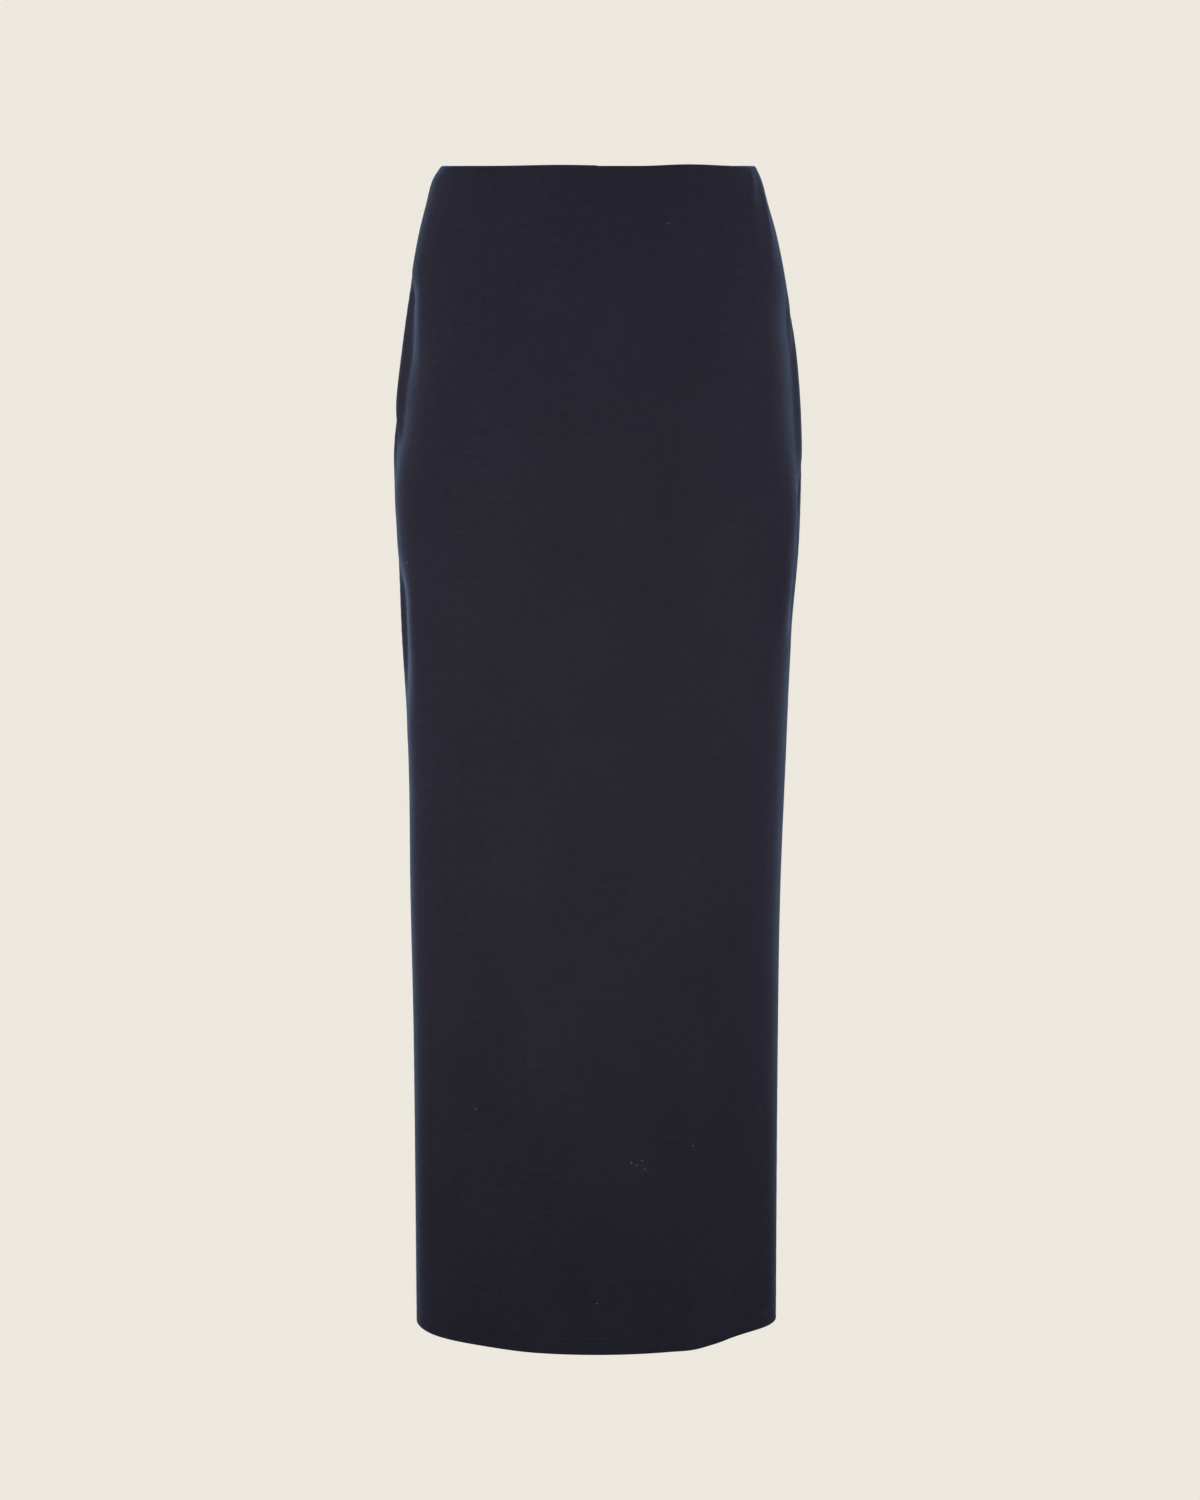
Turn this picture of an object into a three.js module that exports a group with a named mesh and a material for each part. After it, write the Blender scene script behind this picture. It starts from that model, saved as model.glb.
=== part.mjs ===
// A long pencil skirt in jersey, filled out as when worn: a front panel and a back panel that meet
// at the side seams, with the top edge turned down inside and the hem turned up inside.
// Millimetres, +Z up. The origin is the centre of the waist opening, level with the top edge.
// The front faces -Y, and left and right are as seen from the front, so right is +X.
import * as THREE from "three";

const LENGTH = 1000; // top edge to hem edge, down the side
const CLOTH = 1.2; // one layer of jersey
const LAYER_GAP = 0.2; // air between a turned layer and the panel that it lies on
const SEAM_GAP = 0.3; // between the two panels along each side seam
const WAIST_TURNING = 32; // cloth turned down inside the top edge
const HEM_TURNING = 17; // cloth turned up inside the hem
const TURNING_STEP = 0.8; // height over which a turned layer's edge ends
const SEAM_ANGLE = 94; // degrees from the centre front, just behind the widest point
const COLUMNS = 38; // quads across one panel
const SIDE_CROWDING = 0.35; // share by which columns crowd together towards the side seams
const SIDE_STEP = 0.01; // radians to each side, between which the way the cloth faces is taken
const NAVY = 0x1b1c2c;

// One row for each level where the outline changes. left and right are half breadths, front and
// back are half depths, and the two square columns say how full a quarter is: 2 is an ellipse.
const SECTIONS = [
  { z: 0, left: 131, right: 133, front: 88, back: 85, frontSquare: 2.1, backSquare: 2.0 },
  { z: -12, left: 138.5, right: 138.5, front: 91, back: 88, frontSquare: 2.1, backSquare: 2.0 },
  { z: -30, left: 143.5, right: 143.5, front: 95, back: 93, frontSquare: 2.1, backSquare: 2.0 },
  { z: -60, left: 151, right: 152, front: 99, back: 102, frontSquare: 2.12, backSquare: 2.02 },
  { z: -100, left: 158, right: 160, front: 103, back: 114, frontSquare: 2.15, backSquare: 2.05 },
  { z: -150, left: 165, right: 168, front: 107, back: 126, frontSquare: 2.2, backSquare: 2.1 },
  { z: -200, left: 170.5, right: 172.5, front: 110, back: 132, frontSquare: 2.2, backSquare: 2.12 },
  { z: -250, left: 173, right: 174, front: 111, back: 133, frontSquare: 2.2, backSquare: 2.12 },
  { z: -320, left: 170, right: 172.5, front: 110, back: 130, frontSquare: 2.18, backSquare: 2.1 },
  { z: -400, left: 167.5, right: 166, front: 109, back: 125, frontSquare: 2.12, backSquare: 2.06 },
  { z: -500, left: 162, right: 162, front: 108, back: 119, frontSquare: 2.08, backSquare: 2.04 },
  { z: -620, left: 161, right: 158, front: 108, back: 114, frontSquare: 2.04, backSquare: 2.02 },
  { z: -750, left: 159, right: 157, front: 109, back: 111, frontSquare: 2.0, backSquare: 2.0 },
  { z: -1000, left: 158, right: 157, front: 110, back: 108, frontSquare: 2.0, backSquare: 2.0 },
];

// One row for each large soft fold. from and to are its angle from the centre front, in degrees, at
// its top and bottom; it is strongest at its peak level, spread is its half width in degrees, and
// rise is how far it stands out of the body, or sinks in where it is negative.
const FOLDS = [
  { name: "left hip hollow", from: -78, to: -89, top: -84, peak: -168, bottom: -315, spread: 9, rise: -7 },
  { name: "behind left hip", from: -97, to: -92, top: -190, peak: -235, bottom: -300, spread: 6, rise: -3 },
  { name: "left thigh hollow", from: -87, to: -84, top: -320, peak: -390, bottom: -490, spread: 8, rise: -5 },
  { name: "right waist ridge", from: 62, to: 70, top: 12, peak: -14, bottom: -78, spread: 5, rise: 2 },
  { name: "right hip hollow", from: 86, to: 80, top: -115, peak: -165, bottom: -260, spread: 8, rise: -4 },
  { name: "right thigh hollow", from: 88, to: 85, top: -222, peak: -290, bottom: -390, spread: 10, rise: -5 },
  { name: "right hem flat", from: 66, to: 66, top: -540, peak: -1000, bottom: -1700, spread: 27, rise: -13 },
  { name: "right hem ridge", from: 41, to: 41, top: -600, peak: -900, bottom: -1500, spread: 11, rise: 2 },
  { name: "left hem flat", from: -50, to: -50, top: -620, peak: -1000, bottom: -1700, spread: 24, rise: -3 },
  { name: "back left", from: -128, to: -122, top: -290, peak: -370, bottom: -560, spread: 13, rise: -5 },
  { name: "back right", from: 126, to: 122, top: -300, peak: -400, bottom: -600, spread: 14, rise: -5 },
  { name: "back right hem", from: 118, to: 118, top: -560, peak: -1000, bottom: -1700, spread: 25, rise: -6 },
];

// Heights of the rings, band by band: each band runs down to its own level in even steps.
const RING_BANDS = [
  { to: -6, step: 6 },
  { to: -WAIST_TURNING, step: 13 },
  { to: -WAIST_TURNING - TURNING_STEP, step: TURNING_STEP },
  { to: -90, step: 19 },
  { to: -420, step: 22 },
  { to: -560, step: 35 },
  { to: -LENGTH + HEM_TURNING + TURNING_STEP, step: 54 },
  { to: -LENGTH + HEM_TURNING, step: TURNING_STEP },
  { to: -LENGTH, step: HEM_TURNING },
];

// How steeply a column changes with height at row i.
function slopeAt(rows, column, i) {
  const before = rows[Math.max(i - 1, 0)];
  const after = rows[Math.min(i + 1, rows.length - 1)];
  return (after[column] - before[column]) / (after.z - before.z);
}

// The value of a column at height z, on a smooth curve through the rows.
function columnAt(rows, column, z) {
  const last = rows.length - 2;
  const i = Math.min(Math.max(rows.findIndex((row) => row.z <= z) - 1, 0), last);
  const [above, below] = [rows[i], rows[i + 1]];
  const run = below.z - above.z;
  const t = THREE.MathUtils.clamp((z - above.z) / run, 0, 1);
  const [startSlope, endSlope] = [slopeAt(rows, column, i) * run, slopeAt(rows, column, i + 1) * run];
  const rise = below[column] - above[column];
  const curved = startSlope + t * (3 * rise - 2 * startSlope - endSlope);
  return above[column] + t * (curved + t * t * (startSlope + endSlope - 2 * rise));
}

// The outline of the body at one level, without folds, in the direction of angle.
function bodyPoint(z, angle) {
  const [across, forward] = [Math.sin(angle), Math.cos(angle)];
  const breadth = columnAt(SECTIONS, across < 0 ? "left" : "right", z);
  const depth = columnAt(SECTIONS, forward > 0 ? "front" : "back", z);
  const square = columnAt(SECTIONS, forward > 0 ? "frontSquare" : "backSquare", z);
  const size = Math.abs(across / breadth) ** square + Math.abs(forward / depth) ** square;
  const reach = size ** (-1 / square);
  return new THREE.Vector2(across * reach, -forward * reach);
}

// How far all the folds together move the cloth outwards at one place.
function foldHeight(z, angle) {
  const degrees = THREE.MathUtils.radToDeg(angle);
  return FOLDS.reduce((sum, fold) => {
    const along = THREE.MathUtils.clamp((z - fold.top) / (fold.bottom - fold.top), 0, 1);
    const away = Math.abs(degrees - THREE.MathUtils.lerp(fold.from, fold.to, along)) / fold.spread;
    const end = z > fold.peak ? fold.top : fold.bottom;
    const strength = THREE.MathUtils.smoothstep((end - z) / (end - fold.peak), 0, 1);
    return sum + (away < 1 ? (fold.rise * strength * (1 + Math.cos(Math.PI * away))) / 2 : 0);
  }, 0);
}

// The way the body's outline faces at one place.
function outwards(z, angle) {
  const along = bodyPoint(z, angle + SIDE_STEP).sub(bodyPoint(z, angle - SIDE_STEP));
  return new THREE.Vector2(along.y, -along.x).normalize();
}

// A point of the cloth, sunk by depth below its outer face.
function clothPoint(z, angle, depth) {
  const normal = outwards(z, angle);
  const point = bodyPoint(z, angle).addScaledVector(normal, foldHeight(z, angle) - depth);
  return new THREE.Vector3(point.x, point.y, z);
}

// The wall is two layers thick where the cloth is turned in, and one layer elsewhere.
function thicknessAt(z) {
  const turned = z > -WAIST_TURNING - TURNING_STEP / 2 || z < -LENGTH + HEM_TURNING + TURNING_STEP / 2;
  return turned ? 2 * CLOTH + LAYER_GAP : CLOTH;
}

// The heights of the rings of points, from the top edge down to the hem edge.
function ringHeights() {
  const heights = [0];
  for (const { to, step } of RING_BANDS) {
    const from = heights.at(-1);
    const count = Math.max(Math.round((from - to) / step), 1);
    for (let i = 1; i <= count; i += 1) {
      heights.push(THREE.MathUtils.lerp(from, to, i / count));
    }
  }
  return heights;
}

// Angles of a panel's columns about its middle, crowded towards the side seams.
function columnAngles(middle, halfSpan) {
  return Array.from({ length: COLUMNS + 1 }, (_, i) => {
    const t = (2 * i) / COLUMNS - 1;
    return middle + halfSpan * (t + (SIDE_CROWDING * Math.sin(Math.PI * t)) / Math.PI);
  });
}

// The closed wall of one panel: an outer and an inner sheet of points with a rim all round.
function panelGeometry(middleDegrees, halfSpanDegrees) {
  const heights = ringHeights();
  const halfBreadth = SECTIONS.at(-1).left;
  const trim = Math.asin(SEAM_GAP / 2 / halfBreadth);
  const middle = THREE.MathUtils.degToRad(middleDegrees);
  const angles = columnAngles(middle, THREE.MathUtils.degToRad(halfSpanDegrees) - trim);
  const wide = angles.length;
  const sheet = wide * heights.length;
  const points = [];
  for (const inner of [false, true]) {
    for (const z of heights) {
      const depth = inner ? thicknessAt(z) : 0;
      points.push(...angles.map((angle) => clothPoint(z, wrapped(angle), depth)));
    }
  }
  const faces = [];
  const quad = (a, b, c, d) => faces.push(a, b, c, a, c, d);
  const at = (row, column) => row * wide + column;
  const lastRow = heights.length - 1;
  for (let row = 0; row < lastRow; row += 1) {
    for (let column = 0; column < COLUMNS; column += 1) {
      const corners = [at(row, column), at(row + 1, column), at(row + 1, column + 1), at(row, column + 1)];
      quad(...corners);
      quad(...corners.reverse().map((corner) => corner + sheet));
    }
    for (const [upper, lower] of [[at(row + 1, 0), at(row, 0)], [at(row, COLUMNS), at(row + 1, COLUMNS)]]) {
      quad(upper, lower, lower + sheet, upper + sheet);
    }
  }
  for (let column = 0; column < COLUMNS; column += 1) {
    const [topLeft, topRight] = [at(0, column), at(0, column + 1)];
    const [hemLeft, hemRight] = [at(lastRow, column), at(lastRow, column + 1)];
    quad(topLeft, topRight, topRight + sheet, topLeft + sheet);
    quad(hemRight, hemLeft, hemLeft + sheet, hemRight + sheet);
  }
  const geometry = new THREE.BufferGeometry().setFromPoints(points);
  geometry.setIndex(faces);
  geometry.computeVertexNormals();
  return geometry;
}

// An angle brought into the range of the tables, from -180 to 180 degrees.
function wrapped(angle) {
  return THREE.MathUtils.euclideanModulo(angle + Math.PI, 2 * Math.PI) - Math.PI;
}

// One panel of the skirt, its middle and half its span given as angles from the centre front.
function panel(name, middleDegrees, halfSpanDegrees) {
  const jersey = new THREE.MeshStandardMaterial({ color: NAVY, roughness: 0.85, metalness: 0 });
  const mesh = new THREE.Mesh(panelGeometry(middleDegrees, halfSpanDegrees), jersey);
  mesh.name = name;
  return mesh;
}

const skirt = new THREE.Group();
skirt.add(panel("front_panel", 0, SEAM_ANGLE));
skirt.add(panel("back_panel", 180, 180 - SEAM_ANGLE));

export default skirt;
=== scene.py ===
"""A long navy jersey pencil skirt, filled out as when worn, laid out as a Blender add-on.

Sizes in the tables are millimetres, with the centre of the waist opening at the origin, the front
facing -Y and +Z up. Angles go round the skirt in degrees from the centre front, positive to +X.
"""

import math
from typing import NamedTuple

import bpy
import numpy as np
from bpy.props import FloatProperty, FloatVectorProperty, PointerProperty
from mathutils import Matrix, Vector


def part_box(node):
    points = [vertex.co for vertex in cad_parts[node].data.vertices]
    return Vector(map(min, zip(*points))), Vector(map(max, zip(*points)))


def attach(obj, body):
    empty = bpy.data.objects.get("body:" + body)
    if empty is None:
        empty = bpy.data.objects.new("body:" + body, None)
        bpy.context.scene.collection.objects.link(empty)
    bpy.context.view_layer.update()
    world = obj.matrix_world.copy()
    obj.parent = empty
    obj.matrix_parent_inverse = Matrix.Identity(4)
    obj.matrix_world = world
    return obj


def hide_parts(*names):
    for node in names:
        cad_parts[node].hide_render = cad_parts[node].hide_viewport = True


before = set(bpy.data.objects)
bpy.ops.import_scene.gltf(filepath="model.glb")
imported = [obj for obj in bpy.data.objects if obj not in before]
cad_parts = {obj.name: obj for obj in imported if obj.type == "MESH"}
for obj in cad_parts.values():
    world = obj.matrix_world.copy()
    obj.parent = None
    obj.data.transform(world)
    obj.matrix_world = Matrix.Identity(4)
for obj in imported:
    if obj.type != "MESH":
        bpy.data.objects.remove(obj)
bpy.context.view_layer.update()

bl_info = {
    "name": "Pencil skirt",
    "version": (1, 0, 0),
    "blender": (4, 5, 0),
    "location": "View3D > Sidebar > Skirt",
    "description": "Jersey pencil skirt with turned waist, side seams and a twin-stitched hem",
    "category": "Object",
}

MM = 0.001
FRONT_LOW, FRONT_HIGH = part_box("front_panel")
LENGTH = FRONT_HIGH.z / MM - FRONT_LOW.z / MM
SEAM_ANGLE = 94.0  # the side seams, just behind the widest point


class Section(NamedTuple):
    """Half breadths and half depths at one level; a square of 2 makes a quarter an ellipse."""
    z: float
    left: float
    right: float
    front: float
    back: float
    front_square: float
    back_square: float


SECTIONS = [
    Section(0, 131, 133, 88, 85, 2.1, 2.0),
    Section(-12, 138.5, 138.5, 91, 88, 2.1, 2.0),
    Section(-30, 143.5, 143.5, 95, 93, 2.1, 2.0),
    Section(-60, 151, 152, 99, 102, 2.12, 2.02),
    Section(-100, 158, 160, 103, 114, 2.15, 2.05),
    Section(-150, 165, 168, 107, 126, 2.2, 2.1),
    Section(-200, 170.5, 172.5, 110, 132, 2.2, 2.12),
    Section(-250, 173, 174, 111, 133, 2.2, 2.12),
    Section(-320, 170, 172.5, 110, 130, 2.18, 2.1),
    Section(-400, 167.5, 166, 109, 125, 2.12, 2.06),
    Section(-500, 162, 162, 108, 119, 2.08, 2.04),
    Section(-620, 161, 158, 108, 114, 2.04, 2.02),
    Section(-750, 159, 157, 109, 111, 2.0, 2.0),
    Section(-1000, 158, 157, 110, 108, 2.0, 2.0),
]
HIP = max(row.left for row in SECTIONS)  # the half breadth at the widest level


class Fold(NamedTuple):
    """A soft fold, at angle start at its top and end at its bottom, strongest at its peak level.

    ahead and behind are its half widths in degrees towards the front and towards the back, rise is
    how far it stands out, or sinks in where it is negative, bow is how many degrees its line bends
    to one side halfway down, and it stays at full strength for hold below its peak.
    """
    name: str
    start: float
    end: float
    top: float
    peak: float
    bottom: float
    ahead: float
    behind: float
    rise: float
    bow: float = 0.0
    hold: float = 0.0


FOLDS = [
    Fold("left hip hollow, upper part", -87.5, -84, -86, -112, -190, 16, 6.5, -6.2, hold=10),
    Fold("left hip hollow, lower part", -83, -87, -105, -172, -286, 21, 8, -6.6, 4, hold=35),
    Fold("behind left hip", -93, -87, -192, -224, -252, 4.5, 3.5, -4.5),
    Fold("left thigh hollow", -86.5, -87.2, -318, -366, -486, 15, 6, -6, hold=32),
    Fold("right hip hollow", 84, 80, -88, -140, -292, 20, 7, -5.2, hold=70),
    Fold("right thigh flat", 86, 85.5, -236, -296, -412, 8, 7, -3.6, hold=62),
    Fold("right thigh turn", 75, 75, -236, -296, -412, 8, 7, 1.4, hold=62),
    Fold("right hem flat", 67, 66, -540, -1000, -1700, 29, 27, -13),
    Fold("right hem ridge", 41, 41, -600, -900, -1500, 10, 11, 1.8),
    Fold("left hem flat", -50, -50, -620, -1000, -1700, 24, 24, -3),
    Fold("back left", -128, -122, -290, -370, -560, 13, 13, -5),
    Fold("back right", 126, 122, -300, -400, -600, 14, 14, -5),
    Fold("back right hem", 118, 118, -560, -1000, -1700, 25, 25, -6),
]

# Smaller creases and shallow bands, on the large folds and on the plain cloth.
CREASES = [
    Fold("right waist first crease", 79, 64, 8, -16, -62, 3.5, 4, 1.1),
    Fold("right waist second crease", 85, 71, 4, -36, -112, 3.5, 4, 1.2),
    Fold("right hip crease", 93, 85, -108, -134, -172, 3.5, 2.5, -2.2),
    Fold("right thigh crease", 93.5, 82, -228, -262, -310, 3.5, 2.5, -2.6),
    Fold("right shin band", 53, 55, -560, -900, -1400, 7, 8, 0.5),
    Fold("right shin trough", 44, 46, -560, -880, -1400, 7, 7, -0.4),
    Fold("left knee trough", -62, -56, -480, -640, -820, 9, 9, -0.9),
    Fold("left waist crease", -66, -70, 4, -26, -84, 3, 4, 0.6),
    Fold("back waist left", -150, -143, 6, -30, -120, 4, 5, 1.2),
    Fold("back waist right", 152, 144, 6, -34, -130, 4, 5, 1.0),
    Fold("back waist middle", 176, 172, 6, -22, -76, 4, 4, 0.7),
    Fold("back seat left crease", -112, -134, -262, -318, -392, 5, 8, -2.4, -3),
    Fold("back seat right crease", 110, 136, -270, -332, -420, 5, 8, -2.0, 3),
    Fold("back knee left crease", -140, -118, -470, -560, -690, 6, 9, -1.7, 4),
    Fold("back knee right crease", 146, 120, -500, -590, -720, 6, 9, -1.5, -4),
    Fold("back calf left", -146, -150, -640, -900, -1400, 9, 9, 1.6),
    Fold("back calf right", 150, 156, -620, -860, -1400, 8, 10, 1.4),
]


class Lift(NamedTuple):
    """A stretch of the top edge that stands above or below level."""
    angle: float
    spread: float
    rise: float


TOP_EDGE_LIFTS = [
    Lift(46, 24, 1.3),
    Lift(76, 12, -0.8),
    Lift(-58, 26, -1.0),
    Lift(-160, 40, 0.9),
    Lift(140, 34, -0.9),
]
TOP_EDGE_LIFT_REACH = 45.0  # how far down the cloth follows the top edge's unevenness


class Speck(NamedTuple):
    """A speck of lint: its place on the cloth, the length of its fibre and the turn of its curl."""
    angle: float
    z: float
    length: float
    turn: float


LINT = [
    Speck(0.0, -955, 1.9, 0.3),
    Speck(15.4, -833, 2.3, 1.9),
    Speck(17.6, -836, 2.0, 0.8),
    Speck(19.8, -831, 1.7, 2.7),
    Speck(20.9, -839, 1.6, 1.2),
    Speck(41.0, -821, 2.0, 2.2),
    Speck(-51.3, -793, 1.6, 0.6),
    Speck(-75.6, -331, 2.2, 1.4),
    Speck(33.0, -47, 1.6, 0.2),
    Speck(-160.0, -410, 1.9, 1.1),
    Speck(128.0, -720, 1.7, 2.5),
    Speck(171.0, -905, 2.1, 0.4),
]


def column_at(name, z):
    """The value of a column of SECTIONS at heights z, on a smooth curve through the rows."""
    level = np.array([row.z for row in SECTIONS], float)
    value = np.array([getattr(row, name) for row in SECTIONS], float)
    before = np.concatenate(([0], np.arange(len(level) - 1)))
    after = np.concatenate((np.arange(1, len(level)), [len(level) - 1]))
    slope = (value[after] - value[before]) / (level[after] - level[before])
    i = np.clip(np.searchsorted(-level, -z) - 1, 0, len(level) - 2)
    run = level[i + 1] - level[i]
    t = np.clip((z - level[i]) / run, 0, 1)
    start, end, rise = slope[i] * run, slope[i + 1] * run, value[i + 1] - value[i]
    return value[i] + t * (start + t * (3 * rise - 2 * start - end) + t * t * (start + end - 2 * rise))


def body_point(z, angle):
    """The outline of the body at heights z in the directions of angle, in radians."""
    across, forward = np.sin(angle), np.cos(angle)
    breadth = np.where(across < 0, column_at("left", z), column_at("right", z))
    depth = np.where(forward > 0, column_at("front", z), column_at("back", z))
    square = np.where(forward > 0, column_at("front_square", z), column_at("back_square", z))
    reach = (np.abs(across / breadth) ** square + np.abs(forward / depth) ** square) ** (-1 / square)
    return np.stack([across * reach, -forward * reach], -1)


def smoothstep(t):
    """0 up to t of 0, 1 from t of 1, and a smooth rise between them."""
    t = np.clip(t, 0, 1)
    return t * t * (3 - 2 * t)


def hump(away):
    """A smooth hump, 1 where away is 0 and 0 where it is 1 or more to either side."""
    return 0.5 + 0.5 * np.cos(np.pi * np.clip(np.abs(away), 0, 1))


def fold_height(z, angle):
    """How far all the folds and creases together move the cloth outwards."""
    degrees = np.degrees(angle)
    total = np.zeros(np.broadcast(z, angle).shape)
    for fold in FOLDS + CREASES:
        along = np.clip((z - fold.top) / (fold.bottom - fold.top), 0, 1)
        centre = fold.start + (fold.end - fold.start) * along + fold.bow * np.sin(np.pi * along)
        away = (degrees - centre) * np.sign(fold.start)
        strength = smoothstep((fold.top - z) / (fold.top - fold.peak))
        strength *= smoothstep((z - fold.bottom) / (fold.peak - fold.hold - fold.bottom))
        total += fold.rise * strength * hump(away / np.where(away < 0, fold.ahead, fold.behind))
    return total


def top_edge_lift(z, angle):
    """How far the uneven top edge lifts the cloth at one place."""
    degrees = np.degrees(angle)
    lift = sum(row.rise * hump((degrees - row.angle) / row.spread) for row in TOP_EDGE_LIFTS)
    return lift * smoothstep(1 + z / TOP_EDGE_LIFT_REACH)


def outwards(z, angle):
    """The way the body's outline faces, as unit vectors in X and Y."""
    step = 0.01  # radians
    along = body_point(z, angle + step) - body_point(z, angle - step)
    facing = np.stack([along[..., 1], -along[..., 0]], -1)
    return facing / np.linalg.norm(facing, axis=-1, keepdims=True)


def from_seam(z, angle):
    """Distance round the skirt from the nearer side seam, positive towards the back."""
    radius = np.linalg.norm(body_point(z, angle), axis=-1)
    return (np.abs(angle) - math.radians(SEAM_ANGLE)) * radius


def angle_beside_seam(z, off, sign):
    """The angle of places off from a side seam, positive towards the back, at heights z."""
    seam = math.radians(SEAM_ANGLE)
    radius = np.linalg.norm(body_point(z, np.full_like(z, seam)), axis=-1)
    return sign * (seam + off / radius)


SEAM_PUCKER_REACH = 9.0  # how far from a seam its small waves die away
HEM_ROW_REACH = 0.9  # how far from a row of stitches its pull dies away


def cloth_point(z, angle, depth):
    """Points of the cloth sunk by depth below its outer face, with the dips at seams and stitches."""
    z, angle, depth = np.broadcast_arrays(z, angle, depth)
    sizes = bpy.context.scene.skirt_sizes
    off = from_seam(z, angle)
    waves = np.sin(2 * np.pi * z / sizes.seam_pucker_pitch)
    pucker = sizes.seam_pucker * waves * np.exp(-(off / SEAM_PUCKER_REACH) ** 2)
    dip = sizes.seam_dip * np.exp(-(off / sizes.seam_dip_reach) ** 2)
    hem_rows = (sizes.hem_row_low, sizes.hem_row_high)
    pulls = (np.exp(-((z + LENGTH - row) / HEM_ROW_REACH) ** 2) for row in hem_rows)
    pull = sum(pulls) * sizes.hem_row_dip
    out = fold_height(z, angle) + pucker - dip - pull - depth
    place = body_point(z, angle) + outwards(z, angle) * out[..., None]
    return np.concatenate([place, (z + top_edge_lift(z, angle))[..., None]], -1)


def wrapped(angle):
    """Angles brought into the range of the tables."""
    return (angle + np.pi) % (2 * np.pi) - np.pi


# The cloth's path from the raw edge inside the waist, over the top edge, down the outside, round the
# hem edge and up to the raw edge inside the hem.

OUTSIDE_STRETCHES = ((-16, 9), (-100, 28), (-480, 92), (-LENGTH + 24, 66))  # each one's end and rows
HEM_STRETCH_ROWS = 26  # in the last stretch, where the stitches pull the cloth in
BEND_ROWS = 9  # round the top edge, and round the hem edge
TURNING_ROWS = 9  # along each turning
EASE = 4  # how far from its bend a turning starts to rise over the seam allowances
WAIST_EASE_ROWS = 3
HEM_EASE_ROWS = 4


class Path(NamedTuple):
    """The middle of the cloth along its length, and which way its right side faces there."""
    z: np.ndarray
    depth: np.ndarray
    up: np.ndarray
    out: np.ndarray
    turned: np.ndarray


def cloth_path():
    """The path with the sizes that are set; turned is 1 on a turning and 0 on the outside."""
    sizes = bpy.context.scene.skirt_sizes
    half = sizes.cloth / 2
    waist_bend = (sizes.cloth + sizes.waist_layer_gap) / 2
    hem_bend = (sizes.cloth + sizes.hem_layer_gap) / 2
    waist_centre = -(waist_bend + half)
    hem_centre = -LENGTH + hem_bend + half
    rows = []

    def straight(start, end, count, depth, out, turned):
        for z in np.linspace(start, end, count, endpoint=False):
            rows.append((z, depth, 0.0, out, turned))

    def bend(centre, radius, start, end, middle):
        for turn in np.radians(np.linspace(start, end, BEND_ROWS, endpoint=False)):
            z = centre + radius * math.sin(turn)
            depth = middle - radius * math.cos(turn)
            rows.append((z, depth, math.sin(turn), math.cos(turn), 0.0))

    waist_inner = half + 2 * waist_bend
    hem_inner = half + 2 * hem_bend
    hem_edge = -LENGTH + sizes.hem_turning
    straight(-sizes.waist_turning, waist_centre - EASE, TURNING_ROWS, waist_inner, -1.0, 1.0)
    straight(waist_centre - EASE, waist_centre, WAIST_EASE_ROWS, waist_inner, -1.0, 0.5)
    bend(waist_centre, waist_bend, 180, 0, half + waist_bend)
    level = waist_centre
    for end, count in (*OUTSIDE_STRETCHES, (hem_centre, HEM_STRETCH_ROWS)):
        straight(level, end, count, half, 1.0, 0.0)
        level = end
    bend(hem_centre, hem_bend, 0, -180, half + hem_bend)
    straight(hem_centre, hem_centre + EASE, HEM_EASE_ROWS, hem_inner, -1.0, 0.5)
    straight(hem_centre + EASE, hem_edge, TURNING_ROWS, hem_inner, -1.0, 1.0)
    rows.append((hem_edge, hem_inner, 0.0, -1.0, 1.0))
    return Path(*np.array(rows).T)


PANEL_COLUMNS = 134
EDGE_COLUMNS = (0.0, 0.5, 1.1, 1.9, 3.0, 4.6)  # how far in from a panel's side edges the first ones lie
FIRST_GAP = 2.4  # from the last of these to the next column
CROWDING = 0.3  # how much closer than evenly spaced the columns lie at the sides of a panel


def column_angles(middle, span):
    """Angles of a panel's columns about its middle, in radians, with fine ones at its edges."""
    edges = np.array(EDGE_COLUMNS) / HIP
    inner = np.linspace(-1, 1, PANEL_COLUMNS)
    crowded = inner + CROWDING * np.sin(np.pi * inner) / np.pi
    reach = span - edges[-1] - FIRST_GAP / HIP
    return middle + np.concatenate([-span + edges, crowded * reach, (span - edges)[::-1]])


def grid_faces(rows, columns, first, flip):
    """Quads over a grid of vertices that starts at number first."""
    i, j = np.meshgrid(np.arange(rows - 1), np.arange(columns - 1), indexing="ij")
    a = (first + i * columns + j).ravel()
    quads = np.stack([a, a + columns, a + columns + 1, a + 1], -1)
    return quads[:, ::-1] if flip else quads


def rim_faces(rows, columns, sheet):
    """Quads that close the edge between an outer sheet of vertices and an inner one."""
    last = (rows - 1) * columns
    loop = np.concatenate([
        np.arange(columns - 1),
        np.arange(columns - 1, last, columns),
        np.arange(last + columns - 1, last, -1),
        np.arange(last, 0, -columns),
    ])
    following = np.roll(loop, -1)
    return np.stack([loop, following, following + sheet, loop + sheet], -1)


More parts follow.
